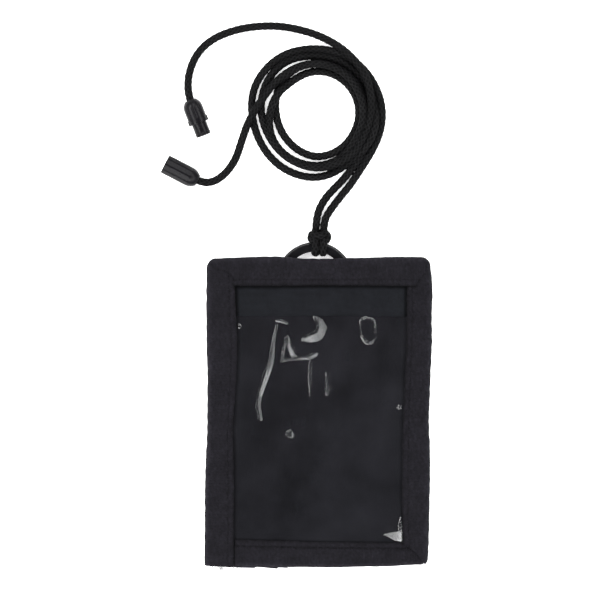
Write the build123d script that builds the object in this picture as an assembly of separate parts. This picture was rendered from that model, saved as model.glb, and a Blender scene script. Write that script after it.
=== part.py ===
"""Neck pouch wallet, lying on its back with the clear window up.

Frame: +X across the pouch, +Y towards the ring and the neck cord, +Z out of
the window. The origin is on the surface that the pouch lies on, under the
middle of the pouch and ring. All sizes are in millimetres.
"""

from build123d import *

import math
import os

# Pouch body
POUCH_WIDTH = 101.6
POUCH_HEIGHT = 139.7
POUCH_MID_Y = -4.2
CORNER_R = 3.5
RAW_CORNER_R = 0.6
BINDING_WIDTH = 12.7
BINDING_T = 0.8
PANEL_T = 0.6
WINDOW_T = 0.35
WINDOW_TOP_Y = 40.1
POCKET_BULGE_INSET = 14.0

# Heights of the stacked layers, from the surface up
BINDING_REAR_Z = 5.1
BACK_PANEL_Z = BINDING_REAR_Z + BINDING_T
FRONT_PANEL_Z = BACK_PANEL_Z + PANEL_T + 0.2
WINDOW_Z = FRONT_PANEL_Z + PANEL_T + 0.05
BINDING_FRONT_Z = WINDOW_Z + WINDOW_T
POUCH_TOP_Z = BINDING_FRONT_Z + BINDING_T
POUCH_TOP_Y = POUCH_MID_Y + POUCH_HEIGHT / 2
PANEL_FIT = 0.05

# Zip on the back
ZIP_Y = 20.0
ZIP_LENGTH = 76.0
ZIP_SLOT_HALF = 3.9
ZIP_TAPE_HALF = 9.0
ZIP_TAPE_T = 0.4
ZIP_GAP_HALF = 0.6
TOOTH_PITCH = 1.3
TOOTH_WIDTH = 0.75
TEETH_Z = 4.3
TEETH_T = BACK_PANEL_Z - ZIP_TAPE_T - TEETH_Z
SLIDER_LENGTH = 8.4
SLIDER_WIDTH = 6.8
SLIDER_X = 31.0
PULL_LENGTH = 16.0
PULL_WIDTH = 5.0
PULL_T = 0.9
PULL_PIVOT_Z = 2.65

# Split ring: two turns of flat wire, the lower one a little wider
RING_X = -1.4
RING_Y = 56.2
RING_OUTER_R = 17.85
RING_INNER_R = 13.3
RING_TURN_OFFSET = 0.6
RING_WIRE_T = 1.25
RING_Z = 2.0
RING_TURN_GAP = 0.1
RING_CLEARANCE = 0.3
RING_TOP_Z = RING_Z + 2 * RING_WIRE_T + RING_TURN_GAP
RING_SPLIT_ANGLE = 200.0

# Webbing tab that holds the ring's lower wire
TAB_WIDTH = 12.0

# Neck cord
CORD_D = 3.5
CORD_Z = CORD_D / 2
COIL_X = -0.4
COIL_Y = 133.0
COIL_OUTER_R = 31.1
COIL_INNER_R = 17.8
COIL_HEIGHT = 2 * CORD_D
UPPER_LAYER_Z = 1.5 * CORD_D

# Hitch of the cord round the ring
HITCH_X = 0.34
HITCH_BOTTOM_Y = 67.1
HITCH_TOP_Y = 79.7
HITCH_TOP_Z = 7.5

# Breakaway connectors, each along its own axis from the cord end
PLUG_ENTRY = (-58.6, 139.0)
PLUG_TIP = (-52.2, 122.5)
PLUG_BARREL_R = 4.45
PLUG_BARREL_LENGTH = 11.2
PLUG_NOSE_R = 3.45
PLUG_LENGTH = 17.4
SOCKET_ENTRY = (-55.1, 102.0)
SOCKET_MOUTH = (-70.1, 109.8)
SOCKET_R = 4.55
SOCKET_LENGTH = 16.9
SOCKET_BORE_R = 3.7
SOCKET_BORE_DEPTH = 7.5
CORD_HOLE_R = 1.95
KNOT_R = 2.35

# Routes of the cord outside its coil: x, y and the height of its middle
LEAD_LEFT = [
    (-1.0, 79.2, CORD_Z),
    (-0.75, 84.2, CORD_Z),
    (0.6, 89.4, CORD_Z),
    (3.5, 94.3, CORD_Z),
    (7.1, 98.2, CORD_Z),
    (11.1, 102.1, CORD_Z),
    (14.3, 106.0, CORD_Z),
    (17.0, 110.4, CORD_Z),
]
LEAD_RIGHT = [
    (2.6, 79.2, CORD_Z),
    (2.85, 83.9, CORD_Z),
    (5.3, 88.2, CORD_Z),
    (9.8, 94.2, CORD_Z),
    (14.6, 99.9, CORD_Z),
    (18.1, 105.2, CORD_Z),
    (21.4, 110.2, CORD_Z),
    (24.8, 116.0, CORD_Z),
]
TAIL_PLUG = [
    (20.8, 153.2, UPPER_LAYER_Z),
    (15.2, 159.2, 4.9),
    (8.6, 164.5, 3.3),
    (0.3, 168.8, CORD_Z),
    (-8.5, 171.5, CORD_Z),
    (-18.5, 173.2, CORD_Z),
    (-29.5, 172.9, CORD_Z),
    (-40.0, 170.8, CORD_Z),
    (-49.4, 166.6, CORD_Z),
    (-55.9, 160.0, CORD_Z),
    (-59.1, 152.0, CORD_Z),
    (-59.8, 145.4, 2.2),
    (-58.8, 139.6, PLUG_BARREL_R),
]
TAIL_SOCKET = [
    (-25.4, 140.2, UPPER_LAYER_Z),
    (-31.4, 130.6, UPPER_LAYER_Z),
    (-34.8, 121.0, 3.1),
    (-37.8, 111.4, CORD_Z),
    (-43.4, 104.2, CORD_Z),
    (-49.8, 100.8, 2.1),
    (-55.4, 102.2, SOCKET_R),
]


def block(x, y, z):
    """A box between two corners, from three (low, high) pairs."""
    size = [high - low for low, high in (x, y, z)]
    centre = [(low + high) / 2 for low, high in (x, y, z)]
    return Pos(*centre) * Box(*size)


def pouch_outline(inset):
    """The pouch's outline pulled in by inset, its lower left corner left raw."""
    half_w = POUCH_WIDTH / 2 - inset
    half_h = POUCH_HEIGHT / 2 - inset
    corners = [
        (half_w, half_h, CORNER_R - inset),
        (half_w, -half_h, CORNER_R - inset),
        (-half_w, half_h, CORNER_R - inset),
        (-half_w, -half_h, RAW_CORNER_R),
    ]
    face = Pos(0, POUCH_MID_Y) * Rectangle(2 * half_w, 2 * half_h)
    for x, y, radius in corners:
        corner = face.vertices().sort_by_distance((x, POUCH_MID_Y + y, 0))[0]
        face = fillet(corner, radius)
    return face


def layer(face, z, thickness):
    """A flat layer of the given thickness with its underside at z."""
    return extrude(Pos(0, 0, z) * face, thickness)


def clip_y(solid, low, high):
    """The part of a layer between two heights on the pouch."""
    return solid & block((-100, 100), (low, high), (-50, 50))


# Binding: one tape folded over all four edges, mitred at three corners
def binding():
    """The four runs of the edge tape, each a channel over the panels' edge."""
    half_w = POUCH_WIDTH / 2
    top = POUCH_TOP_Y
    low = POUCH_MID_Y - POUCH_HEIGHT / 2
    width = BINDING_WIDTH
    runs = {
        "binding_top": [
            (-half_w, top),
            (half_w, top),
            (half_w - width, top - width),
            (-half_w + width, top - width),
        ],
        "binding_right": [
            (half_w, top),
            (half_w, low),
            (half_w - width, low + width),
            (half_w - width, top - width),
        ],
        "binding_bottom": [(half_w, low), (-half_w + width, low), (-half_w + width, low + width),
                           (half_w - width, low + width)],
        "binding_left": [
            (-half_w, low),
            (-half_w, top),
            (-half_w + width, top - width),
            (-half_w + width, low),
        ],
    }
    full = layer(pouch_outline(0), BINDING_REAR_Z, POUCH_TOP_Z - BINDING_REAR_Z)
    channel = layer(pouch_outline(BINDING_T), BACK_PANEL_Z, BINDING_FRONT_Z - BACK_PANEL_Z)
    tape = full - channel
    pieces = {}
    for name, points in runs.items():
        region = make_face(Polyline(points, close=True))
        pieces[name] = tape & layer(region, BINDING_REAR_Z, POUCH_TOP_Z - BINDING_REAR_Z)
    return pieces


def panels():
    """Front panel, clear window, and the back in two halves round the zip."""
    inside = pouch_outline(BINDING_T + PANEL_FIT)
    low = POUCH_MID_Y - POUCH_HEIGHT / 2
    back = layer(inside, BACK_PANEL_Z, PANEL_T)
    lower_back = clip_y(back, low, ZIP_Y - ZIP_SLOT_HALF)
    return {
        "front_panel": layer(inside, FRONT_PANEL_Z, PANEL_T),
        "window_sheet": clip_y(layer(inside, WINDOW_Z, WINDOW_T), low, WINDOW_TOP_Y),
        "back_panel_upper": clip_y(back, ZIP_Y + ZIP_SLOT_HALF, POUCH_TOP_Y),
        "back_panel_lower": lower_back + pocket_bulge(),
    }


def pocket_bulge():
    """The slack of the zipped pocket, from the lower back panel to the surface."""
    half_w = POUCH_WIDTH / 2 - BINDING_WIDTH - 0.4
    low = POUCH_MID_Y - POUCH_HEIGHT / 2 + BINDING_WIDTH + 0.4
    high = ZIP_Y - ZIP_TAPE_HALF - 0.4
    middle = (low + high) / 2
    wide = Pos(0, middle, BACK_PANEL_Z) * Rectangle(2 * half_w, high - low)
    resting = Pos(0, middle, 0) * Rectangle(
        2 * (half_w - POCKET_BULGE_INSET), high - low - 2 * POCKET_BULGE_INSET
    )
    return loft([wide, resting])


# Zip
def zip_tape(side):
    """One woven tape of the zip; side is +1 above the zip's line, -1 below."""
    edges = sorted((ZIP_Y + side * ZIP_GAP_HALF, ZIP_Y + side * ZIP_TAPE_HALF))
    half = ZIP_LENGTH / 2
    return block((-half, half), edges, (BACK_PANEL_Z - ZIP_TAPE_T, BACK_PANEL_Z))


def zip_teeth(side):
    """One row of teeth with the cord that carries them along the tape's edge."""
    half = ZIP_LENGTH / 2 - 4.0
    top_z = TEETH_Z + TEETH_T
    carrier = sorted((ZIP_Y + side * 1.4, ZIP_Y + side * 2.3))
    row = block((-half, half), carrier, (TEETH_Z + 0.15, top_z))
    reach = sorted((ZIP_Y + side * (ZIP_GAP_HALF + 0.05), ZIP_Y + side * 1.5))
    count = int(2 * half / TOOTH_PITCH)
    offset = 0.0 if side > 0 else TOOTH_PITCH / 2
    teeth = []
    for index in range(count):
        start = -half + index * TOOTH_PITCH + offset
        end = min(start + TOOTH_WIDTH, half)
        teeth.append(block((start, end), reach, (TEETH_Z, top_z - 0.1)))
    return row + teeth


def zip_stops():
    """Clamped stops past each end of the teeth."""
    ends = []
    for side in (-1, 1):
        x = side * (ZIP_LENGTH / 2 - 2.4)
        across_zip = (ZIP_Y - 2.3, ZIP_Y + 2.3)
        ends.append(block((x - 0.9, x + 0.9), across_zip, (TEETH_Z, TEETH_Z + TEETH_T)))
    return Compound(children=ends)


def zip_slider():
    """Slider body: two plates joined by a neck, side flanges and the crown."""
    half_l = SLIDER_LENGTH / 2
    half_w = SLIDER_WIDTH / 2
    along = (SLIDER_X - half_l, SLIDER_X + half_l)
    across = (ZIP_Y - half_w, ZIP_Y + half_w)
    outer_plate = block(along, across, (3.4, 4.15))
    outer_plate = fillet(outer_plate.edges().filter_by(Axis.Z), 1.6)
    inner_plate = block(along, (ZIP_Y - 2.9, ZIP_Y + 2.9), (6.0, 6.5))
    inner_plate = fillet(inner_plate.edges().filter_by(Axis.Z), 1.4)
    body = outer_plate + inner_plate
    for side in (-1, 1):
        flange = sorted((ZIP_Y + side * 2.7, ZIP_Y + side * half_w))
        body += block((SLIDER_X - 2.6, SLIDER_X + 2.6), flange, (4.1, 5.3))
    body += block((SLIDER_X - 2.4, SLIDER_X + 2.4), (ZIP_Y - 0.4, ZIP_Y + 0.4), (4.1, 6.1))
    crown = block((SLIDER_X - 3.0, SLIDER_X + 3.0), (ZIP_Y - 0.8, ZIP_Y + 0.8), (1.3, 3.5))
    crown = fillet(crown.edges().filter_by(Axis.Y).group_by(Axis.Z)[0], 0.9)
    crown -= block((SLIDER_X - 2.2, SLIDER_X + 2.2), (ZIP_Y - 1, ZIP_Y + 1), (1.9, 3.4))
    return body + crown


def zip_pull():
    """Pull tab: a bar in the crown, two arms and a plate with a finger hole."""
    bar = Pos(SLIDER_X, ZIP_Y, PULL_PIVOT_Z) * Rot(90, 0, 0) * Cylinder(PULL_T / 2, 3.4)
    low_z = PULL_PIVOT_Z - PULL_T / 2
    end = SLIDER_X - PULL_LENGTH
    outline = block((end, SLIDER_X - 0.1), (ZIP_Y - PULL_WIDTH / 2, ZIP_Y + PULL_WIDTH / 2),
                    (low_z, low_z + PULL_T))
    outline = fillet(outline.edges().filter_by(Axis.Z).group_by(Axis.X)[0], 2.2)
    across_zip = (ZIP_Y - 1.2, ZIP_Y + 1.2)
    outline -= block((SLIDER_X - 4.6, SLIDER_X + 1), across_zip, (low_z - 1, low_z + 2))
    outline -= Pos(end + 3.2, ZIP_Y, PULL_PIVOT_Z) * Cylinder(1.2, 3)
    for side in (-1, 1):
        arm = sorted((ZIP_Y + side * 1.9, ZIP_Y + side * 4))
        outline -= block((SLIDER_X - 6, SLIDER_X + 1), arm, (low_z - 1, low_z + 2))
    return bar + outline


# Ring and the tab that holds it
def ring_turn(inner, outer, z, slit_angle):
    """One turn of the ring's flat wire, cut through at slit_angle."""
    profile = Pos((inner + outer) / 2, z + RING_WIRE_T / 2) * RectangleRounded(
        outer - inner, RING_WIRE_T, 0.45
    )
    turn = revolve(Plane.XZ * profile, Axis.Z)
    slit = Rot(0, 0, slit_angle) * Pos(RING_OUTER_R, 0, z) * Box(RING_OUTER_R, 0.35, 4)
    return turn - slit


def split_ring():
    """Both turns of the ring and the ramp of wire that joins them."""
    upper_z = RING_Z + RING_WIRE_T + RING_TURN_GAP
    lower = ring_turn(RING_INNER_R + RING_TURN_OFFSET, RING_OUTER_R, RING_Z, RING_SPLIT_ANGLE - 14)
    upper = ring_turn(RING_INNER_R, RING_OUTER_R - RING_TURN_OFFSET, upper_z, RING_SPLIT_ANGLE + 14)
    ramp_middle = Pos((RING_INNER_R + RING_OUTER_R) / 2, upper_z - RING_TURN_GAP / 2)
    ramp = revolve(Plane.XZ * ramp_middle * Rectangle(2.4, 0.5), Axis.Z, 20)
    ramp = Rot(0, 0, RING_SPLIT_ANGLE - 10) * ramp
    return Pos(RING_X, RING_Y, 0) * (lower + upper + ramp)


def ring_tab():
    """Webbing strip sewn down at both ends, with the ring's wire behind it."""
    profile = [
        (30.0, 5.1), (34.6, 5.1), (37.2, 0.9), (51.9, 0.9), (53.9, 4.3), (60.0, 4.3),
        (60.0, 5.1), (53.2, 5.1), (51.2, 1.7), (38.0, 1.7), (35.3, 5.9), (30.0, 5.9),
    ]
    face = Plane.YZ * make_face(Polyline(profile, close=True))
    strip = extrude(face, TAB_WIDTH / 2, both=True)
    return Pos(RING_X, 0, 0) * strip


def tab_stitching():
    """Bar tacks across both sewn ends of the tab."""
    half = TAB_WIDTH / 2 - 1.2
    tacks = []
    for y, z in ((31.6, 5.1), (57.6, 4.3)):
        tacks.append(block((RING_X - half, RING_X + half), (y - 0.9, y + 0.9), (z - 0.3, z)))
    return Compound(children=tacks)


# Neck cord
def cord_tube(name, route):
    """A round tube along straight runs joined by tangent arcs."""
    points = [Vector(*point) for point in route]
    runs = [(b - a) for a, b in zip(points, points[1:])]
    radii = []
    for before, after in zip(runs, runs[1:]):
        half_turn = math.radians(before.get_angle(after)) / 2
        radii.append(0.45 * min(before.length, after.length) / math.tan(half_turn))
    path = FilletPolyline(*points, radius=radii)
    section = Plane(origin=points[0], z_dir=runs[0]) * Circle(CORD_D / 2)
    tube = sweep(section, path)
    expected = math.pi * CORD_D**2 / 4 * path.length
    print(name, "length", round(path.length, 1), "volume share", round(tube.volume / expected, 3))
    print("  radii", [round(radius, 1) for radius in radii])
    return tube


def cord_coil():
    """The outer shape of the coiled stretch of the cord."""
    coil = Cylinder(COIL_OUTER_R, COIL_HEIGHT) - Cylinder(COIL_INNER_R, COIL_HEIGHT)
    coil = chamfer(coil.edges().filter_by(GeomType.CIRCLE), 1.2)
    return Pos(COIL_X, COIL_Y, COIL_HEIGHT / 2) * coil


def cord_hitch():
    """The knot round the ring, open for the wire to turn in."""
    left = HITCH_X - 4.7
    right = HITCH_X + 4.7
    outline = [
        (HITCH_X - 2.9, HITCH_BOTTOM_Y), (HITCH_X + 2.9, HITCH_BOTTOM_Y), (right - 0.5, 71.6),
        (right, 74.6), (right - 0.5, 77.6), (right - 1.5, HITCH_TOP_Y), (left + 1.5, HITCH_TOP_Y),
        (left + 0.5, 77.6), (left, 74.6), (left + 0.5, 71.6),
    ]
    knot = extrude(make_face(Polyline(outline, close=True)), HITCH_TOP_Z)
    knot = chamfer(knot.faces().sort_by(Axis.Z)[-1].edges(), 1.0)
    tunnel_height = RING_TOP_Z - RING_Z + 2 * RING_CLEARANCE
    tunnel = Cylinder(RING_OUTER_R + RING_CLEARANCE, tunnel_height) - Cylinder(
        RING_INNER_R - RING_CLEARANCE, tunnel_height
    )
    return knot - Pos(RING_X, RING_Y, RING_Z - RING_CLEARANCE + tunnel_height / 2) * tunnel


# Breakaway connectors: built along +Z from the cord end, then laid down
def lay_connector(solid, entry, far_end, axis_z):
    """Lays a connector from its cord end towards its far end."""
    direction = (far_end[0] - entry[0], far_end[1] - entry[1], 0)
    return Plane(origin=(entry[0], entry[1], axis_z), x_dir=(0, 0, 1), z_dir=direction) * solid


def domed_barrel(radius, length, dome):
    """A round barrel whose cord end is domed."""
    shoulder = (radius, dome)
    with_dome = [
        Line((0, 0), (CORD_HOLE_R + 0.5, 0)),
        ThreePointArc((CORD_HOLE_R + 0.5, 0), (radius - 0.6, dome * 0.42), shoulder),
        Line(shoulder, (radius, length)),
        Line((radius, length), (0, length)),
        Line((0, length), (0, 0)),
    ]
    return revolve(Plane.XZ * make_face(Curve() + with_dome), Axis.Z)


def around(count, solid):
    """Copies of a solid at even steps round the Z axis."""
    return [Rot(0, 0, 360 / count * index) * solid for index in range(count)]


def tube_hole(radius, low, high):
    """A round hole along Z between two heights."""
    return Pos(0, 0, (low + high) / 2) * Cylinder(radius, high - low)


def breakaway_plug():
    """Male half: fluted barrel and a hollow nose with a rounded barb."""
    barrel = domed_barrel(PLUG_BARREL_R, PLUG_BARREL_LENGTH, 4.0)
    flute = Pos(PLUG_BARREL_R + 0.55, 0, 5.6) * Cylinder(0.95, 7.0)
    for cut in around(8, flute):
        barrel -= cut
    nose_length = PLUG_LENGTH - PLUG_BARREL_LENGTH
    nose_middle = PLUG_BARREL_LENGTH + nose_length / 2 - 0.5
    nose = Pos(0, 0, nose_middle) * Cylinder(PLUG_NOSE_R, nose_length + 1.0)
    nose = fillet(nose.edges().filter_by(GeomType.CIRCLE).group_by(Axis.Z)[-1], 0.5)
    barb = Pos(0, 0, PLUG_LENGTH - 1.2) * Torus(PLUG_NOSE_R - 0.25, 0.42)
    plug = barrel + nose + barb
    for lug in around(2, Pos(0, PLUG_BARREL_R, PLUG_BARREL_LENGTH - 1.2) * Box(1.8, 0.5, 2.2)):
        plug += lug
    for recess in around(2, Pos(PLUG_NOSE_R, 0, PLUG_BARREL_LENGTH + 3.0) * Box(0.6, 1.2, 1.6)):
        plug -= recess
    plug -= tube_hole(CORD_HOLE_R, -1, 4)
    plug -= tube_hole(2.55, 3.2, PLUG_LENGTH + 1)
    return lay_connector(plug, PLUG_ENTRY, PLUG_TIP, PLUG_BARREL_R)


def breakaway_socket():
    """Female half: faceted barrel bored for the plug's nose."""
    barrel = domed_barrel(SOCKET_R, SOCKET_LENGTH, 5.0)
    facets = extrude(RegularPolygon(SOCKET_R - 0.12, 10, major_radius=False), SOCKET_LENGTH)
    socket = barrel & facets
    socket -= tube_hole(CORD_HOLE_R, -1, 4)
    socket -= tube_hole(2.6, 3.2, SOCKET_LENGTH - SOCKET_BORE_DEPTH + 0.5)
    socket -= tube_hole(SOCKET_BORE_R, SOCKET_LENGTH - SOCKET_BORE_DEPTH, SOCKET_LENGTH + 1)
    return lay_connector(socket, SOCKET_ENTRY, SOCKET_MOUTH, SOCKET_R)


def end_knot(entry, far_end, axis_z):
    """The cord's end inside a connector, with the knot that holds it there."""
    stub = tube_hole(CORD_D / 2, 0.6, 5.6)
    knot = stub + Pos(0, 0, 5.9) * Sphere(KNOT_R)
    return lay_connector(knot, entry, far_end, axis_z)


nodes = {}
nodes.update(binding())
nodes.update(panels())
nodes["zipper_tape_upper"] = zip_tape(1)
nodes["zipper_tape_lower"] = zip_tape(-1)
nodes["zipper_teeth_upper"] = zip_teeth(1)
nodes["zipper_teeth_lower"] = zip_teeth(-1)
nodes["zipper_end_stops"] = zip_stops()
nodes["zipper_slider"] = zip_slider()
nodes["zipper_pull"] = zip_pull()
nodes["ring_tab"] = ring_tab()
nodes["ring_tab_stitching"] = tab_stitching()
nodes["split_ring"] = split_ring()
nodes["cord_hitch"] = cord_hitch()
nodes["cord_lead_left"] = cord_tube("cord_lead_left", LEAD_LEFT)
nodes["cord_lead_right"] = cord_tube("cord_lead_right", LEAD_RIGHT)
nodes["cord_coil"] = cord_coil()
nodes["cord_tail_plug"] = cord_tube("cord_tail_plug", TAIL_PLUG)
nodes["cord_tail_socket"] = cord_tube("cord_tail_socket", TAIL_SOCKET)
nodes["breakaway_plug"] = breakaway_plug()
nodes["breakaway_socket"] = breakaway_socket()
nodes["plug_cord_knot"] = end_knot(PLUG_ENTRY, PLUG_TIP, PLUG_BARREL_R)
nodes["socket_cord_knot"] = end_knot(SOCKET_ENTRY, SOCKET_MOUTH, SOCKET_R)

os.makedirs("parts", exist_ok=True)
for name, shape in nodes.items():
    export_step(shape, f"parts/{name}.step")
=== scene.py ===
"""Neck pouch wallet: the looks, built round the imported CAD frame.

Points and sizes are worked out in millimetres in the shared frame, and every
mesh is made in metres. +X runs across the pouch, +Y towards the ring and the
neck cord, +Z out of the clear window.
"""

import math
import random

import bpy
import numpy as np
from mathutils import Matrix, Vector


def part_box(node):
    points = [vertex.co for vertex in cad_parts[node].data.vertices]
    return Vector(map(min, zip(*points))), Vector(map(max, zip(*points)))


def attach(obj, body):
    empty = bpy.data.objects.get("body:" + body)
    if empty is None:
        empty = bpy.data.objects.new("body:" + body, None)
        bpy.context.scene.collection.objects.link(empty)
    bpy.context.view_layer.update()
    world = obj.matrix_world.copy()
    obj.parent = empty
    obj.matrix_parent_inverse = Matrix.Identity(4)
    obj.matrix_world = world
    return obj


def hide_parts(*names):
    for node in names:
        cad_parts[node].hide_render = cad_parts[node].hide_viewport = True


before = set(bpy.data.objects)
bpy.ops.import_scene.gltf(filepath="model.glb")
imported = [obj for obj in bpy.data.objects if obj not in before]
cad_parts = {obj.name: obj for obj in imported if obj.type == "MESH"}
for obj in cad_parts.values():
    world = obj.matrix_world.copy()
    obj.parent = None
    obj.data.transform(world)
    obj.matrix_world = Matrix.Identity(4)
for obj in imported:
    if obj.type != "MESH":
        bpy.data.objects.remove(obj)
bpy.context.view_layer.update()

MM = 0.001


def cad_box(node):
    """A CAD node's lowest and highest corners, in millimetres."""
    low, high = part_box(node)
    return np.array(low) / MM, np.array(high) / MM


# Sizes read from the frame
LOW_LEFT = cad_box("binding_left")[0]
TOP_RIGHT = cad_box("binding_top")[1]
HALF_WIDTH = -LOW_LEFT[0]
POUCH_LOW_Y, POUCH_HIGH_Y = LOW_LEFT[1], TOP_RIGHT[1]
POUCH_MID_Y = (POUCH_LOW_Y + POUCH_HIGH_Y) / 2
REAR_Z, FRONT_Z = LOW_LEFT[2], TOP_RIGHT[2]
BINDING_WIDTH = cad_box("binding_top")[1][1] - cad_box("binding_top")[0][1]
BACK_PANEL_Z = cad_box("back_panel_upper")[0][2]
PANEL_Z = cad_box("front_panel")[1][2]
WINDOW_Z = cad_box("window_sheet")[1][2]
WINDOW_TOP_Y = cad_box("window_sheet")[1][1]
END_STOP_HALF = 2.3
ZIP_Y = cad_box("zipper_end_stops")[0][1] + END_STOP_HALF
RING_LOW, RING_HIGH = cad_box("split_ring")
RING_X = (RING_LOW[0] + RING_HIGH[0]) / 2
COIL_LOW, COIL_HIGH = cad_box("cord_coil")
COIL_X, COIL_Y = (COIL_LOW[0] + COIL_HIGH[0]) / 2, (COIL_LOW[1] + COIL_HIGH[1]) / 2

# Sizes chosen or measured, in millimetres
CORNER_R = 3.6
TAPE_T, PANEL_T, FILM_T, ZIP_TAPE_T, WEBBING_T = 0.7, 0.45, 0.2, 0.35, 0.75
STITCH_GAP, STITCH_PITCH = 2.7, 2.9
PANEL_INSET = 1.4
ZIP_SLOT_HALF = 3.9
ZIP_TAPE_START, ZIP_TAPE_END = 0.6, 9.0
TEETH_PITCH = 1.3
TAB_WIDTH = 12.0
POCKET_SLUMP = 5.35
CORD_D = 3.5
CORD_R = CORD_D / 2
UPPER_LAYER_Z = 1.5 * CORD_D


# Camera, light and floor
CAMERA_X, CAMERA_Y = -10.53, 49.72
FRAME_WIDTH = 270.0
LENS, SENSOR = 400.0, 36.0
# A ring of softboxes above by azimuth, in watts, and four lights below for views of the back
SOFTBOX_POWERS = {0: 6.0, 60: 6.0, 120: 8.0, 180: 10.5, 240: 11.5, 300: 8.5}
SOFTBOX_ZENITH, SOFTBOX_SIZE = 42, (0.95, 0.34)
UNDER_LIGHTS = ((0, 180), (90, 130), (210, 130), (330, 130))
UNDER_POWER, UNDER_SIZE = 14.0, (0.8, 0.8)
LIGHT_DISTANCE = 1.1


def make_camera():
    """Looks straight down on the flat pouch, as wide as the picture."""
    data = bpy.data.cameras.new("camera")
    data.lens = LENS
    data.sensor_width = SENSOR
    data.clip_start = 0.05
    camera = bpy.data.objects.new("camera", data)
    height = FRONT_Z + FRAME_WIDTH * LENS / SENSOR
    camera.location = Vector((CAMERA_X, CAMERA_Y, height)) * MM
    bpy.context.collection.objects.link(camera)
    bpy.context.scene.camera = camera


def make_softbox(name, azimuth, from_zenith, power, size):
    """A rectangular softbox aimed at the middle of the object."""
    data = bpy.data.lights.new(name, "AREA")
    data.shape = "RECTANGLE"
    data.size, data.size_y = size
    data.energy = power
    light = bpy.data.objects.new(name, data)
    a, z = math.radians(azimuth), math.radians(from_zenith)
    away = Vector((math.cos(a) * math.sin(z), math.sin(a) * math.sin(z), math.cos(z)))
    middle = Vector((CAMERA_X, CAMERA_Y, 0)) * MM
    light.location = middle + away * LIGHT_DISTANCE
    light.rotation_mode = "QUATERNION"
    light.rotation_quaternion = away.to_track_quat("Z", "Y")
    bpy.context.collection.objects.link(light)


def make_world():
    """A studio with pale walls and a dark ceiling."""
    world = bpy.data.worlds.new("studio")
    world.use_nodes = True
    tree = world.node_tree
    coords = tree.nodes.new("ShaderNodeTexCoord")
    split = tree.nodes.new("ShaderNodeSeparateXYZ")
    ramp = tree.nodes.new("ShaderNodeValToRGB")
    ramp.color_ramp.elements[0].position = 0.25
    ramp.color_ramp.elements[0].color = (0.75, 0.76, 0.78, 1)
    ramp.color_ramp.elements[1].position = 0.75
    ramp.color_ramp.elements[1].color = (0.09, 0.09, 0.095, 1)
    tree.links.new(coords.outputs["Generated"], split.inputs[0])
    tree.links.new(split.outputs["Z"], ramp.inputs["Fac"])
    tree.links.new(ramp.outputs["Color"], tree.nodes["Background"].inputs["Color"])
    bpy.context.scene.world = world


# Materials
class Shader:
    """A material's node tree, with short ways to add what the fabrics share."""

    def __init__(self, name, color, roughness, specular=0.5):
        self.material = bpy.data.materials.new(name)
        self.material.use_nodes = True
        self.tree = self.material.node_tree
        self.surface = self.tree.nodes["Principled BSDF"]
        self.surface.inputs["Base Color"].default_value = (*color, 1)
        self.surface.inputs["Roughness"].default_value = roughness
        self.surface.inputs["Specular IOR Level"].default_value = specular
        self.color = color

    def node(self, kind, settings=None, **inputs):
        """Adds a node; an input's value is a number, a vector or another node's output."""
        node = self.tree.nodes.new(kind)
        for key, value in (settings or {}).items():
            setattr(node, key, value)
        for key, value in inputs.items():
            socket = node.inputs[int(key[1:])] if key[0] == "i" and key[1:].isdigit() else node.inputs[key]
            if isinstance(value, bpy.types.NodeSocket):
                self.tree.links.new(value, socket)
            else:
                socket.default_value = value
        return node

    def math(self, operation, a, b=0.0):
        return self.node("ShaderNodeMath", {"operation": operation}, i0=a, i1=b).outputs[0]

    def coords(self, kind="Object"):
        """Coordinates in millimetres: UV runs along and across a piece, Object is its place."""
        source = self.node("ShaderNodeTexCoord").outputs[kind]
        return self.node("ShaderNodeVectorMath", {"operation": "SCALE"}, i0=source, Scale=1 / MM).outputs[0]

    def wave(self, at, period, axis):
        """Even ridges across an axis, one every period millimetres."""
        settings = {"bands_direction": axis, "wave_profile": "SIN"}
        return self.node("ShaderNodeTexWave", settings, Vector=at, Scale=math.pi / 10 / period).outputs["Fac"]

    def noise(self, at, size, detail=2.0):
        """Noise whose grains are about size millimetres."""
        return self.node("ShaderNodeTexNoise", Vector=at, Scale=1 / size, Detail=detail).outputs["Fac"]

    def plain_weave(self, at, period):
        """Over-and-under threads: rounded ridges that change direction from check to check."""
        warp = self.wave(at, period, "X")
        weft = self.wave(at, period, "Y")
        checks = self.node("ShaderNodeTexChecker", Vector=at, Scale=1 / period).outputs["Fac"]
        return self.node("ShaderNodeMix", Factor=checks, A=warp, B=weft).outputs[0]

    def bump(self, height, distance, strength=0.8, under=None):
        """Raises the surface by height times distance millimetres."""
        inputs = {"Height": height, "Distance": distance * MM, "Strength": strength}
        if under is not None:
            inputs["Normal"] = under
        normal = self.node("ShaderNodeBump", **inputs).outputs["Normal"]
        self.tree.links.new(normal, self.surface.inputs["Normal"])
        return normal

    def tint(self, factor, low, high, painted_shade=False):
        """Varies the base colour between two multiples of itself; the flag multiplies it by the mesh's shade
        attribute, which holds painted shade and painted light.
        """
        ramp = self.node("ShaderNodeValToRGB", Fac=factor)
        for element, share in zip(ramp.color_ramp.elements, (low, high)):
            element.color = (*(share * c for c in self.color), 1)
        color = ramp.outputs["Color"]
        if painted_shade:
            shade = self.node("ShaderNodeAttribute", {"attribute_name": "shade"}).outputs["Fac"]
            color = self.node("ShaderNodeVectorMath", {"operation": "SCALE"}, i0=color, Scale=shade).outputs[0]
        self.tree.links.new(color, self.surface.inputs["Base Color"])

    def roughness(self, factor, low, high):
        """Varies the roughness between two values."""
        mapped = self.node("ShaderNodeMapRange", Value=factor, **{"To Min": low, "To Max": high})
        self.tree.links.new(mapped.outputs[0], self.surface.inputs["Roughness"])

    def set(self, **values):
        for key, value in values.items():
            self.surface.inputs[key.replace("_", " ")].default_value = value
        return self.material


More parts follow.
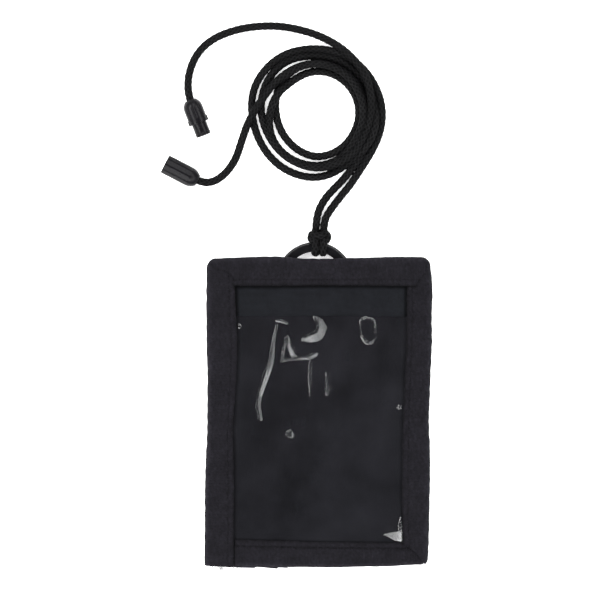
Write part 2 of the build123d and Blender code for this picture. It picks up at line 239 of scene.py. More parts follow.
def woven_material(name, color, period, grain):
    """Woven nylon or polyester: threads, a coarser grain and uneven dye."""
    shader = Shader(name, color, 0.85, 0.07)
    at = shader.coords("UV")
    weave = shader.plain_weave(at, period)
    coarse = shader.noise(at, grain, 3.0)
    blotch = shader.noise(shader.coords(), 9.0, 3.0)
    first = shader.bump(coarse, 0.12)
    shader.bump(weave, 0.07, under=first)
    threads = shader.math("ADD", shader.math("MULTIPLY", weave, 0.5), coarse)
    shade = shader.math("MULTIPLY", threads, shader.math("ADD", blotch, 0.5))
    # The mesh's shade attribute multiplies in painted shade and painted light
    shader.tint(shader.math("MULTIPLY", shade, 0.75), 0.4, 1.6, painted_shade=True)
    shader.roughness(coarse, 0.72, 0.95)
    return shader.material


def ribbed_material(name, color, pitch):
    """Ribbed tape or webbing: ribs across its length with crossing picks."""
    shader = Shader(name, color, 0.85, 0.07)
    at = shader.coords("UV")
    ribs = shader.wave(at, pitch, "X")
    picks = shader.plain_weave(at, pitch / 4)
    grain = shader.noise(at, 1.3)
    blotch = shader.noise(shader.coords(), 7.0, 3.0)
    first = shader.bump(grain, 0.3)
    second = shader.bump(ribs, 0.1, under=first)
    shader.bump(picks, 0.1, under=second)
    threads = shader.math("ADD", shader.math("MULTIPLY", picks, 0.35), shader.math("MULTIPLY", grain, 1.5))
    shade = shader.math("MULTIPLY", threads, shader.math("ADD", blotch, 0.5))
    # The mesh's shade attribute multiplies in painted shade and painted light
    shader.tint(shader.math("MULTIPLY", shade, 0.6), 0.1, 1.9, painted_shade=True)
    shader.roughness(grain, 0.7, 0.95)
    return shader.material


def braid_material(name, color):
    """Round braid: each strand's fine filaments and a little fuzz."""
    shader = Shader(name, color, 0.8, 0.05)
    at = shader.coords("UV")
    filaments = shader.wave(at, 0.32, "DIAGONAL")
    fuzz = shader.noise(shader.coords(), 0.9, 4.0)
    blotch = shader.noise(shader.coords(), 6.0)
    first = shader.bump(filaments, 0.05)
    shader.bump(fuzz, 0.12, under=first)
    # The mesh's shade attribute multiplies in painted shade and painted light
    shader.tint(shader.math("MULTIPLY", shader.math("ADD", fuzz, blotch), 0.55), 0.05, 2.1, painted_shade=True)
    shader.roughness(fuzz, 0.55, 0.85)
    return shader.material


def thread_material(name, color):
    """Twisted sewing thread."""
    shader = Shader(name, color, 0.6, 0.03)
    at = shader.coords()
    twist = shader.wave(at, 0.28, "DIAGONAL")
    shader.bump(twist, 0.05)
    shader.tint(shader.noise(at, 0.8), 0.7, 1.4)
    return shader.material


def vinyl_material(name):
    """Clear film with a faint blue haze, scuffs and a high gloss."""
    shader = Shader(name, (0.0086, 0.0086, 0.0104), 0.1, 0.38)
    at = shader.coords()
    shader.tint(shader.noise(at, 20.0, 3.0), 0.1, 1.9)
    shader.roughness(shader.noise(at, 3.0, 5.0), 0.08, 0.17)
    return shader.set(Alpha=0.45, IOR=1.6)


def film_edge_material(name):
    """The film's cut edge, duller than its face."""
    shader = Shader(name, (0.009, 0.009, 0.011), 0.6, 0.05)
    at = shader.coords()
    shader.tint(shader.noise(at, 2.0), 0.7, 1.4)
    return shader.material


def enamel_material(name, color, roughness):
    """Black enamel or plating over metal, with faint orange peel and rubbed places."""
    shader = Shader(name, color, roughness, 0.25)
    at = shader.coords()
    shader.bump(shader.noise(at, 0.5), 0.01, 0.4)
    shader.roughness(shader.noise(at, 2.5, 4.0), roughness * 0.7, roughness * 1.6)
    shader.tint(shader.noise(at, 4.0, 3.0), 0.7, 1.5)
    return shader.set(Coat_Weight=0.1, Coat_Roughness=0.12)


def moulded_material(name, color):
    """Moulded black acetal: fine spark texture and slightly polished places."""
    shader = Shader(name, color, 0.42, 0.1)
    at = shader.coords()
    first = shader.bump(shader.noise(at, 0.22), 0.02, 0.6)
    shader.bump(shader.noise(at, 1.6, 3.0), 0.06, 0.6, under=first)
    shader.roughness(shader.noise(at, 1.8, 3.0), 0.2, 0.4)
    shader.tint(shader.noise(at, 1.4, 3.0), 0.3, 1.7)
    return shader.material


def floor_material():
    """White board lit from within like a light table, clear from below to show the object's back."""
    shader = Shader("white_board", (0.9, 0.9, 0.9), 0.7)
    at = shader.coords()
    shader.bump(shader.noise(at, 0.8), 0.01, 0.3)
    shader.tint(shader.noise(at, 60.0), 0.99, 1.01)
    shader.set(Emission_Color=(1, 1, 1, 1), Emission_Strength=0.6)
    clear = shader.node("ShaderNodeBsdfTransparent").outputs[0]
    back = shader.node("ShaderNodeNewGeometry").outputs["Backfacing"]
    mixed = shader.node("ShaderNodeMixShader", i0=back, i1=shader.surface.outputs[0], i2=clear)
    shader.tree.links.new(mixed.outputs[0], shader.tree.nodes["Material Output"].inputs["Surface"])
    return shader.material


FLOOR_HALF_M = 6.0


def make_floor():
    half = FLOOR_HALF_M
    corners = [(-half, -half, 0), (half, -half, 0), (half, half, 0), (-half, half, 0)]
    mesh = bpy.data.meshes.new("floor")
    mesh.from_pydata(corners, [], [(0, 1, 2, 3)])
    floor = bpy.data.objects.new("floor", mesh)
    floor.location.z = -0.2 * MM
    mesh.materials.append(floor_material())
    bpy.context.collection.objects.link(floor)


# Mesh helpers
def ripple(x, y, seed, wavelength, count=5):
    """Smooth uneven waves of about one in height, the same each run."""
    draw = random.Random(seed)
    total = np.zeros(np.broadcast(x, y).shape)
    for _ in range(count):
        angle = draw.uniform(0, math.pi)
        wave = 2 * math.pi / (wavelength * draw.uniform(0.6, 1.6))
        total += np.sin(wave * (x * math.cos(angle) + y * math.sin(angle)) + draw.uniform(0, 6.283))
    return total / math.sqrt(count)


def smooth(low, high, value):
    """Goes smoothly from 0 at low to 1 at high."""
    t = np.clip((value - low) / (high - low), 0, 1)
    return t * t * (3 - 2 * t)


def grid_faces(rows, columns, wrap=False):
    """Quads between neighbouring points of a grid; wrap joins the last column to the first."""
    across = columns if wrap else columns - 1
    index = np.arange(rows * columns).reshape(rows, columns)
    nxt = np.roll(index, -1, axis=1)
    quads = np.stack([index[:-1, :across], nxt[:-1, :across], nxt[1:, :across], index[1:, :across]], -1)
    return quads.reshape(-1, 4)


def mesh_object(name, points, faces, material, uv=None, shade=None):
    """An object from points in millimetres; uv is one (along, across) pair per point, in metres.

    shade multiplies the base colour: painted shade in hollows and painted light on crowns, and in places random
    tone; it is one number per point.
    """
    mesh = bpy.data.meshes.new(name)
    mesh.from_pydata((np.asarray(points).reshape(-1, 3) * MM).tolist(), [], [list(map(int, f)) for f in faces])
    if uv is not None:
        layer = mesh.uv_layers.new(name="UVMap")
        loops = np.empty(len(mesh.loops), dtype=np.int32)
        mesh.loops.foreach_get("vertex_index", loops)
        layer.data.foreach_set("uv", np.asarray(uv).reshape(-1, 2)[loops].astype(np.float32).ravel())
    shade_layer = mesh.attributes.new("shade", "FLOAT", "POINT")
    values = np.ones(len(mesh.vertices)) if shade is None else np.asarray(shade).ravel()
    shade_layer.data.foreach_set("value", values.astype(np.float32))
    mesh.polygons.foreach_set("use_smooth", [True] * len(mesh.polygons))
    mesh.materials.append(material)
    thing = bpy.data.objects.new(name, mesh)
    bpy.context.collection.objects.link(thing)
    return thing


def thicken(thing, thickness):
    """Gives a surface a real thickness, in millimetres, away from its outer side."""
    solid = thing.modifiers.new("thickness", "SOLIDIFY")
    solid.thickness = thickness * MM
    solid.offset = -1.0
    solid.use_quality_normals = True
    rim = thing.modifiers.new("crisp_rim", "EDGE_SPLIT")
    rim.split_angle = math.radians(60)
    return thing


def register(thing, body, slot, *nodes):
    """Says which body a piece rides on and the CAD nodes it stands for; slot is not used."""
    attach(thing, body)
    if nodes:
        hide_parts(*nodes)
    return thing


class Blobs:
    """Many small rounded solids in one mesh, such as stitches or teeth."""

    RINGS, AROUND = 7, 8

    def __init__(self):
        self.points, self.faces = [], []

    def add(self, centre, along, across, up, power):
        """An ellipsoid whose half-axes are the three given vectors, blunter as power falls."""
        centre, along, across, up = (np.array(vector) for vector in (centre, along, across, up))
        start = len(self.points)
        for i in range(self.RINGS + 1):
            lat = math.pi * i / self.RINGS
            for j in range(self.AROUND):
                lon = 2 * math.pi * j / self.AROUND
                shape = math.sin(lat) ** power
                self.points.append(
                    centre - along * math.cos(lat) + (across * math.cos(lon) + up * math.sin(lon)) * shape
                )
        for face in grid_faces(self.RINGS + 1, self.AROUND, wrap=True):
            self.faces.append(face + start)

    def build(self, name, material):
        thing = mesh_object(name, self.points, self.faces, material)
        weld = thing.modifiers.new("weld", "WELD")
        weld.merge_threshold = 0.01 * MM
        return thing


# The pouch's own shape: every soft piece of it passes through these. Each list
# gives how far an edge strays from its straight line: (place along it, offset).
OUTER_LEFT = ((-74, -0.6), (-56, -0.36), (-41, -0.35), (-27, 0.0), (-23, 0.2), (-16, 0.66), (0, 0.81), (6, 0.78),
              (13, 0.96), (17, 0.75), (24, 0.46), (32, 0.4), (46, 0.29), (61, 0.45), (66, 0.5))
INNER_LEFT = ((-74, -0.6), (-56, -0.8), (-40, -0.5), (-24, -0.8), (-12, -1.2), (-6, -0.8), (6, 0.0), (18, 0.8),
              (30, 1.0), (44, 0.1), (54, -0.2), (66, -0.2))
INNER_RIGHT = ((-74, 0.2), (-60, -0.1), (-50, -0.8), (-40, -1.0), (-20, -0.8), (-4, -0.6), (0, -0.2), (6, 0.1),
               (18, 0.5), (24, 1.0), (48, 1.4), (66, 1.4))
OUTER_RIGHT = ((-74, -1.15), (-64, -0.83), (-56, -0.58), (-42, -0.34), (-34, -0.13), (-20, -0.17), (-12, -0.57),
               (-8, -0.75), (-1, -0.53), (6, -0.16), (13, 0.0), (21, 0.42), (28, 0.72), (32, 0.8), (39, 0.54),
               (50, 0.97), (54, 1.06), (57, 0.6), (62, 0.1), (66, -0.1))
OUTER_TOP = ((-50, 0.0), (-43, 0.4), (-35, 0.65), (-28, 0.95), (-20, 1.1), (-15, 0.85), (-9, 0.1), (0, 0.0),
             (7, 0.05), (12, 0.35), (19, 0.4), (27, 0.75), (34, 0.9), (45, 0.85), (50, 0.7))
INNER_TOP = ((-50, 0.1), (-38, 0.0), (-20, -0.1), (0, 0.2), (20, 0.1), (40, -0.2), (50, -0.2))
INNER_LOW = ((-50, 0.2), (-38, 0.2), (0, -0.8), (36, -1.3), (50, -1.3))
OUTER_LOW = ((-51, -0.1), (-46, -0.35), (-39, -0.6), (-24, -0.8), (-17, -0.95), (-10, -0.8), (4, -0.95),
             (12, -0.95), (20, -0.6), (27, -0.6), (34, -0.45), (38, -0.15), (41, 0.1), (45, 0.2), (50, 0.2))
RUN_WIDTH = {"top": 11.6, "right": 11.4, "bottom": 11.6, "left": 12.9}


def stray(table, place):
    """How far an edge strays at a place, smoothed over the table's corners."""
    at, offset = zip(*table)
    return sum(np.interp(place + shift, at, offset) for shift in (-3, -1, 1, 3)) / 4


def between(value, lines, offsets):
    """The offset at a value, shared out between the lines it lies between."""
    total = np.zeros(np.broadcast(value, offsets[0]).shape)
    for k, (line, offset) in enumerate(zip(lines, offsets)):
        before = 1.0 if k == 0 else np.clip((value - lines[k - 1]) / (line - lines[k - 1]), 0, 1)
        after = 1.0 if k == len(lines) - 1 else np.clip((lines[k + 1] - value) / (lines[k + 1] - line), 0, 1)
        total = total + offset * np.minimum(before, after)
    return total


def place_xy(x, y):
    """Rounds the three folded corners, then lets each edge and seam stray from straight."""
    x, y = np.array(x, float), np.array(y, float)
    for side_x, side_y in ((1, 1), (1, -1), (-1, 1)):
        inner_x = side_x * (HALF_WIDTH - CORNER_R)
        inner_y = POUCH_MID_Y + side_y * ((POUCH_HIGH_Y - POUCH_LOW_Y) / 2 - CORNER_R)
        a = np.clip((x - inner_x) * side_x / CORNER_R, 0, None)
        b = np.clip((y - inner_y) * side_y / CORNER_R, 0, None)
        x = x + side_x * CORNER_R * a * (np.sqrt(np.clip(1 - b * b / 2, 0, 1)) - 1)
        y = y + side_y * CORNER_R * b * (np.sqrt(np.clip(1 - a * a / 2, 0, 1)) - 1)
    across = (-HALF_WIDTH, RUN_WIDTH["left"] - HALF_WIDTH, HALF_WIDTH - RUN_WIDTH["right"], HALF_WIDTH)
    along = (POUCH_LOW_Y, POUCH_LOW_Y + RUN_WIDTH["bottom"], POUCH_HIGH_Y - RUN_WIDTH["top"], POUCH_HIGH_Y)
    shift_x = between(x, across, [stray(t, y) for t in (OUTER_LEFT, INNER_LEFT, INNER_RIGHT, OUTER_RIGHT)])
    shift_y = between(y, along, [stray(t, x) for t in (OUTER_LOW, INNER_LOW, INNER_TOP, OUTER_TOP)])
    return x + shift_x + 0.07 * ripple(x, y, 12, 4.0), y + shift_y + 0.07 * ripple(x, y, 14, 4.0)


def lift(x, y):
    """The slow rise and fall of the whole limp pouch."""
    return 0.28 * ripple(x, y, 21, 55)


def pouch_points(x, y, z):
    """Points of a pouch piece in their final place."""
    px, py = place_xy(x, y)
    return np.stack(np.broadcast_arrays(px, py, z + lift(px, py)), -1)


# Binding
SEAM_TOP_LEFT = ((0.0, 3.4, 4.4, 5.2, 6.2, 8.2, 12.9), (0.0, 3.4, 5.6, 8.4, 10.9, 12.4, 12.6))
SEAM_TOP_RIGHT = ((0.0, 2.4, 6.2, 11.2, 11.6), (0.0, 2.0, 3.1, 6.8, 7.2))
SEAM_LOW_RIGHT = ((0.0, 3.0, 6.0, 11.6), (0.0, 3.6, 7.6, 11.4))
UNDER_CUT = 2.4
CUT_LAP = 0.5
TUCK_DROP = 0.9


def seam(shape, inset):
    """How far from the corner a seam is, at an inset from the tape's own outer edge."""
    return np.interp(inset, *shape)


def binding_section(width):
    """The folded tape's section: inset from the outer edge, and height from 1 front to -1 rear."""
    flat = np.linspace(width, 1.9, 30)
    turn = np.linspace(0, math.pi, 13)
    inset = np.concatenate([flat, 1.7 - 1.7 * np.sin(turn), flat[::-1]])
    height = np.concatenate([np.ones(30), np.cos(turn), -np.ones(30)])
    return inset, height


def puff(inset, along, width):
    """The tape's swell between its fold and its stitches, and the stitches' dimples."""
    row = width - STITCH_GAP
    swell = 0.34 * np.sin(math.pi * np.clip(inset / row, 0, 1)) ** 0.7
    groove = np.exp(-(((inset - row) / 0.6) ** 2))
    dimple = 0.5 + 0.5 * np.cos(2 * math.pi * along / STITCH_PITCH)
    return swell - groove * (0.12 + 0.12 * dimple)


def binding_run(name, width, corner, along, inward, length, start_cut, end_cut, covered, material):
    """One run of the edge tape.

    corner is where the run starts; along and inward are unit directions.
    start_cut and end_cut give the length lost at each end of the front layer
    for an inset; covered gives how far a point lies past the edge of a run
    that covers it, negative where nothing does.
    """
    inset, height = binding_section(width)
    steps = int(length / 0.6)
    share = np.linspace(0, 1, steps)[:, None]
    front = height >= 0
    first = np.where(front, start_cut(inset), np.minimum(start_cut(inset), inset)) - CUT_LAP
    last = length - np.where(front, end_cut(inset), np.minimum(end_cut(inset), inset)) + CUT_LAP
    first, last = np.clip(first, 0, None), np.clip(last, None, length)
    t = first + (last - first) * share
    s = np.broadcast_to(inset, t.shape)
    x = corner[0] + along[0] * t + inward[0] * s
    y = corner[1] + along[1] * t + inward[1] * s
    middle, half = (FRONT_Z + REAR_Z) / 2, (FRONT_Z - REAR_Z) / 2
    side = np.broadcast_to(height, t.shape)
    swell = puff(s, t, width)
    z = middle + side * half + np.where(side > 0, swell, -0.35 * np.clip(swell, -0.2, 0.4)) * np.abs(side)
    past = covered(t, s)
    z = z - TUCK_DROP * smooth(-0.2, 0.5, past) * (side > 0.2)
    grain = 0.06 * ripple(x, y, 31, 1.9, 9)
    points = pouch_points(x, y, z + np.where(side > 0, grain, -grain))
    # Painted shade along the stitch row's groove, at the seams beside a covering run and at the tape's inner edge
    # and cut end
    row = np.exp(-(((s - width + STITCH_GAP) / 0.45) ** 2))
    painted_seam_shadow = np.exp(-((np.clip(-past, 0, None) / 0.75) ** 2))
    painted_edge_shadow = np.exp(-(((width - s) / 0.6) ** 2)) + np.exp(-(((t - first) / 0.6) ** 2)) * (start_cut(s) > 0)
    # Painted light along the tape's outer fold
    painted_fold_light = np.exp(-((s / 1.3) ** 2)) * (side > -0.5)
    shade = (1 + 0.12 * ripple(x, y, 32, 2.6, 9)) * (1 - 0.25 * row) * (1 - 0.7 * painted_seam_shadow)
    shade = shade * (1 - 0.45 * np.clip(painted_edge_shadow, 0, 1)) * (1 + 0.7 * painted_fold_light)
    uv = np.stack([t * MM, (s * np.sign(side + 0.01) + 20) * MM], -1)
    tape = mesh_object(name, points, grid_faces(*t.shape), material, uv, np.clip(shade, 0.2, 2))
    return thicken(tape, TAPE_T)


def make_binding(material):
    """The four runs: top over right, left over top and bottom, right over bottom."""
    half = HALF_WIDTH
    width, height = 2 * half, POUCH_HIGH_Y - POUCH_LOW_Y

    def under(inset):
        return np.minimum(inset, UNDER_CUT)

    def tucked(shape, t, s, reach):
        return np.minimum(s - seam(shape, t), reach + 0.35 - t)

    def top_cover(t, s):
        return 0 * s - half

    def right_cover(t, s):
        return tucked(SEAM_TOP_RIGHT, t, s, RUN_WIDTH["top"])

    def left_cover(t, s):
        return tucked(SEAM_TOP_LEFT, height - t, s, RUN_WIDTH["top"])

    def bottom_cover(t, s):
        at_right = tucked(SEAM_LOW_RIGHT, width - t, s, RUN_WIDTH["right"])
        return np.maximum(at_right, RUN_WIDTH["left"] + 0.05 - t)

    runs = [
        ("top", (-half, POUCH_HIGH_Y), (1, 0), (0, -1), width,
         lambda s: seam(SEAM_TOP_LEFT, s), lambda s: seam(SEAM_TOP_RIGHT, s), top_cover),
        ("right", (half, POUCH_HIGH_Y), (0, -1), (-1, 0), height,
         under, lambda s: seam(SEAM_LOW_RIGHT, s), right_cover),
        ("bottom", (-half, POUCH_LOW_Y), (1, 0), (0, 1), width,
         lambda s: 0 * s + RUN_WIDTH["left"] - UNDER_CUT, under, bottom_cover),
        ("left", (-half, POUCH_LOW_Y), (0, 1), (1, 0), height,
         lambda s: 0 * s, under, left_cover),
    ]
    for side, corner, along, inward, length, start, end, covered in runs:
        tape = binding_run(f"binding_tape_{side}", RUN_WIDTH[side], corner, along, inward, length, start, end,
                           covered, material)
        register(tape, "pouch", "binding_tape", f"binding_{side}")


def make_stitching(material):
    """Lockstitches along the binding's inner edge, front and back."""
    left = -HALF_WIDTH + RUN_WIDTH["left"] - STITCH_GAP
    right = HALF_WIDTH - RUN_WIDTH["right"] + STITCH_GAP
    low = POUCH_LOW_Y + RUN_WIDTH["bottom"] - STITCH_GAP
    high = POUCH_HIGH_Y - RUN_WIDTH["top"] + STITCH_GAP
    lines = [((left, low - 8), (left, high)), ((right, low), (right, high)),
             ((left, high), (right, high)), ((left + 3, low), (right, low))]
    stitches = Blobs()
    for (x0, y0), (x1, y1) in lines:
        length = math.hypot(x1 - x0, y1 - y0)
        ux, uy = (x1 - x0) / length, (y1 - y0) / length
        for k in range(int(length / STITCH_PITCH)):
            t = (k + 0.5) * STITCH_PITCH
            px, py = place_xy(x0 + ux * t, y0 + uy * t)
            rise = float(lift(px, py))
            for z in (FRONT_Z - 0.06, REAR_Z - 0.02):
                along, across = (ux * 1.12, uy * 1.12, 0), (-uy * 0.24, ux * 0.24, 0)
                stitches.add((float(px), float(py), z + rise), along, across, (0, 0, 0.16), 0.6)
    thing = stitches.build("binding_stitching", material)
    register(thing, "pouch", "sewing_thread")


RAW_THREADS, RAW_THREAD_PITCH = 34, 0.42
LONG_THREADS = range(14, 18)
THREAD_KNOT = (-46.3, 62.6, FRONT_Z + 0.45)


def make_raw_end(material):
    """Loose threads where the tape's end is left raw at the lower left, and a knot at the upper left."""
    draw = random.Random(91)
    threads = Blobs()
    for k in range(RAW_THREADS):
        x = -HALF_WIDTH + 0.4 + k * RAW_THREAD_PITCH
        reach = draw.uniform(0.25, 0.7) + (1.1 if k in LONG_THREADS else 0)
        lean = draw.uniform(-0.35, 0.35)
        px, py = place_xy(x, POUCH_LOW_Y)
        centre = (float(px) + lean * 0.4, float(py) - reach / 2 + 0.15, draw.uniform(6.2, 8.0))
        threads.add(centre, (lean * 0.5, -reach, draw.uniform(-0.3, 0.2)), (0.16, 0, 0), (0, 0, 0.14), 0.5)
    for k in range(9):
        a = math.radians(40 * k)
        spoke = np.array(THREAD_KNOT) + np.array((math.cos(a), 0.9 * math.sin(a), 0))
        threads.add(spoke, (-0.55 * math.sin(a), 0.55 * math.cos(a), 0), (0.24 * math.cos(a), 0.24 * math.sin(a), 0),
                    (0, 0, 0.3), 0.6)
    register(threads.build("raw_tape_threads", material), "pouch", "binding_tape")


# Panels
def inner_edge_gap(x, y):
    """Distance from the binding's inner edge, for points inside it."""
    from_left = x + HALF_WIDTH - RUN_WIDTH["left"]
    from_right = HALF_WIDTH - RUN_WIDTH["right"] - x
    from_low = y - POUCH_LOW_Y - RUN_WIDTH["bottom"]
    from_top = POUCH_HIGH_Y - RUN_WIDTH["top"] - y
    return np.minimum(np.minimum(from_left, from_right), np.minimum(from_low, from_top))


def edge_groove(x, y):
    """One along the stitched-down line beside the binding, nothing elsewhere."""
    return np.exp(-((np.clip(inner_edge_gap(x, y) - 0.2, -0.4, None) / 0.75) ** 2))


def rows_of(low, high, step, fine=(), fine_step=0.25):
    """Places from low to high, closer together inside the fine ranges."""
    places = [low]
    while places[-1] < high - fine_step:
        inside = any(a <= places[-1] < b for a, b in fine)
        places.append(min(places[-1] + (fine_step if inside else step), high))
    return np.array(places)


def panel_sheet(name, x_range, y_range, height, material, step=1.2, shade=None, fine=((), ())):
    """A flat panel following the pouch; height is a number or a function of x and y."""
    x, y = np.meshgrid(rows_of(*x_range, step, fine[0]), rows_of(*y_range, step, fine[1]))
    z = height(x, y) if callable(height) else height + 0 * x
    points = pouch_points(x, y, z)
    value = None if shade is None else shade(x, y)
    return mesh_object(name, points, grid_faces(*x.shape), material, np.stack([x, y], -1) * MM, value)


PANEL_HALF_X = HALF_WIDTH - PANEL_INSET
PANEL_LOW_Y, PANEL_HIGH_Y = POUCH_LOW_Y + PANEL_INSET, POUCH_HIGH_Y - PANEL_INSET


def make_panel(name, node, y_range, height, material, slot="panel_fabric", thickness=PANEL_T, rear=False, **look):
    """A panel as wide as the pouch's inside; rear turns its outer side down."""
    panel = panel_sheet(name, (-PANEL_HALF_X, PANEL_HALF_X), y_range, height, material, **look)
    if rear:
        panel.data.flip_normals()
    thicken(panel, thickness)
    register(panel, "pouch", slot, node)
    return panel


def make_front_panel(material):
    def height(x, y):
        return PANEL_Z + 0.10 * ripple(x, y, 41, 14) + 0.05 * ripple(x, y, 42, 5) - 0.45 * edge_groove(x, y)

    def shade(x, y):
        # Painted shade in the groove beside the binding's inner edge, over a little random tone
        return np.clip((1 + 0.05 * ripple(x, y, 43, 3.0, 9)) * (1 - 0.75 * edge_groove(x, y)), 0.1, 2)

    make_panel("front_cloth", "front_panel", (PANEL_LOW_Y, PANEL_HIGH_Y), height, material, step=0.7, shade=shade)


# Slopes that send a softbox's light to the camera, fully and in part
FLANK, FAINT_FLANK = 0.37, 0.262


def nearest(path, x, y):
    """Signed distance from a line of points, positive to the right of its run, and the share along."""
    best = np.full(x.shape, 1e9)
    signed = np.zeros(x.shape)
    share = np.zeros(x.shape)
    lengths = [math.hypot(bx - ax, by - ay) for (ax, ay), (bx, by) in zip(path, path[1:])]
    before = 0.0
    for length, (ax, ay), (bx, by) in zip(lengths, path, path[1:]):
        dx, dy = (bx - ax) / length, (by - ay) / length
        t = np.clip((x - ax) * dx + (y - ay) * dy, 0, length)
        off_x, off_y = x - ax - t * dx, y - ay - t * dy
        d = np.hypot(off_x, off_y)
        side = np.where(off_x * dy - off_y * dx >= 0, 1.0, -1.0)
        closer = d < best
        signed = np.where(closer, d * side, signed)
        share = np.where(closer, (before + t) / sum(lengths), share)
        best = np.minimum(best, d)
        before += length
    return signed, share


def fold(x, y, path, widths, steep, flank=FLANK):
    """A fold in the film along a line: an even flank to its right, which catches the light, and a
    short steep one to its left. widths are the flank's widths along the line."""
    d, share = nearest(path, x, y)
    width = np.interp(share, np.linspace(0, 1, len(widths)), widths)
    rise = flank * width
    right = np.clip(1 - d / np.maximum(width, 0.05), 0, 1)
    left = smooth(-steep, 0, d)
    return rise * np.where(d >= 0, right, left)


# Where the film needs a fine mesh, across and along
BUCKLED = (((-38.5, 41.0),), ((-65.5, -51.0), (-17.0, 40.2)))


def film_height(flat_x, flat_y):
    """The clear film's buckles: a long crease, a folded triangle, a crescent, loops and a corner."""
    x, y = place_xy(flat_x, flat_y)
    z = WINDOW_Z + 0.05 * ripple(x, y, 51, 26) + 0.02 * ripple(x, y, 52, 9)
    return z + smooth(-0.6, 0.5, inner_edge_gap(flat_x, flat_y)) * buckles(x, y)


# Each fold in the film: its line, its flank's widths along it, its steep side's width and its slope
FOLDS = (
    # The long crease down the left, and the hook at its top
    ([(-26.6, -6.8), (-27.8, -1.5), (-27.2, 4.0), (-25.6, 9.5), (-23.2, 16.5), (-21.6, 21.0), (-20.8, 27.0),
      (-20.0, 31.5), (-18.7, 36.6)], (1.4, 1.6, 1.7, 2.2, 2.4, 2.5, 1.7, 1.0, 0.9, 0.5), 0.7, FLANK),
    ([(-19.2, 37.9), (-17.0, 38.0), (-14.4, 36.8)], (0.9, 1.0, 0.8), 0.7, FLANK),
    # The folded triangle's three sides
    ([(-16.6, 19.6), (-16.2, 23.6), (-14.5, 30.6)], (1.0, 1.0, 1.1, 1.0), 0.5, 0.34),
    ([(-13.9, 30.4), (-12.4, 26.8), (-10.6, 23.2)], (0.5, 1.5, 2.2, 2.6), 0.6, FLANK),
    ([(-16.6, 19.8), (-9.4, 20.4), (-4.6, 21.3), (-1.6, 22.9)], (1.1, 0.9, 0.7, 1.4, 1.8), 0.6, FLANK),
    # The crescent
    ([(-6.8, 29.6), (-3.6, 31.2), (-0.6, 32.8), (0.6, 34.8), (0.4, 37.2), (-1.4, 39.4)],
     (1.4, 3.4, 4.2, 4.0, 3.6, 2.0, 1.2), 0.9, FLANK),
    # Two faint upright folds
    ([(-3.4, 3.0), (-4.0, 12.0), (-3.6, 19.5)], (0.8, 1.4, 1.6, 1.2), 0.8, FAINT_FLANK),
    ([(4.2, 4.0), (4.2, 14.0)], (1.2, 2.6, 2.6, 1.2), 0.9, FAINT_FLANK),
    # The eight-sided loop, and the small ring
    ([(19.6, 38.2), (19.2, 35.6), (19.8, 31.4), (22.4, 27.8), (25.0, 28.0), (26.3, 30.0), (26.2, 36.8),
      (24.6, 38.6), (21.6, 39.2), (19.6, 38.2)], (0.8, 0.5, 0.6, 1.4, 1.0, 0.55, 0.55, 0.6, 0.9, 1.0, 0.9),
     0.35, FLANK),
    ([(-12.8 + 1.7 * math.cos(a), -14.2 - 1.7 * math.sin(a)) for a in np.linspace(2 * math.pi, 0, 13)],
     (0.65, 0.65), 0.5, 0.36),
)
SPECKS = ((-36.2, 35.4), (37.2, -1.6))


def buckles(x, y):
    """How far the film stands up off the cloth."""
    z = corner_bulge(x, y)
    for path, widths, steep, flank in FOLDS:
        z = z + fold(x, y, path, widths, steep, flank)
    for speck_x, speck_y in SPECKS:
        z = z + 0.5 * np.exp(-(((x - speck_x) ** 2 + (y - speck_y) ** 2) / 1.2))
    return z


def corner_bulge(x, y):
    """The film pushed up at the lower right: an even facet facing down the pouch, then a long slope."""
    foot = np.interp(x, (27, 30, 36, 42), (-59.6, -60.2, -63.3, -63.5))
    brow = np.interp(x, (27, 30, 36, 38.5, 42), (-59.5, -59.8, -58.3, -57.3, -57.0))
    facet = 0.33 * np.clip(y - foot, 0, brow - foot)
    beyond = 1 - smooth(0, 1, (y - brow) / 13.0)
    at_seam = 1 - smooth(38.6, 39.5, x)
    spur = fold(x, y, [(38.1, -52.6), (37.5, -57.6)], (0.7, 1.1, 0.9), 0.6)
    return smooth(26.0, 31.0, x) * facet * beyond * at_seam + spur * at_seam


def make_window(material, edge_material):
    film = make_panel("window_film", "window_sheet", (PANEL_LOW_Y, WINDOW_TOP_Y), film_height, material,
                      "clear_vinyl", FILM_T, step=0.7, fine=BUCKLED)
    film.data.materials.append(edge_material)
    film.modifiers["thickness"].material_offset_rim = 1


def make_back_panels(material):
    """Upper back panel, and the lower one that slumps as the empty zipped pocket."""
    slot = ZIP_SLOT_HALF
    inner_x = HALF_WIDTH - BINDING_WIDTH
    pocket_low, pocket_high = POUCH_LOW_Y + BINDING_WIDTH, ZIP_Y - ZIP_TAPE_END

    def upper(x, y):
        hem = 0.25 * (1 - smooth(2.0, 3.0, y - ZIP_Y - slot))
        return BACK_PANEL_Z - hem + 0.08 * ripple(x, y, 61, 16)

    def lower(x, y):
        hem = 0.25 * (1 - smooth(2.0, 3.0, ZIP_Y - slot - y))
        side = smooth(0, 15.0, inner_x - np.abs(x))
        ends = smooth(0, 15.0, y - pocket_low) * smooth(0, 13.0, pocket_high - y)
        slump = side * ends
        folds = 0.5 * ripple(x, y * 0.5, 63, 17) * slump * (1.4 - slump)
        return BACK_PANEL_Z - hem * (1 - slump) - POCKET_SLUMP * slump + folds

    make_panel("back_cloth_upper", "back_panel_upper", (ZIP_Y + slot, PANEL_HIGH_Y), upper, material, rear=True)
    make_panel("back_cloth_pocket", "back_panel_lower", (PANEL_LOW_Y, ZIP_Y - slot), lower, material, rear=True)


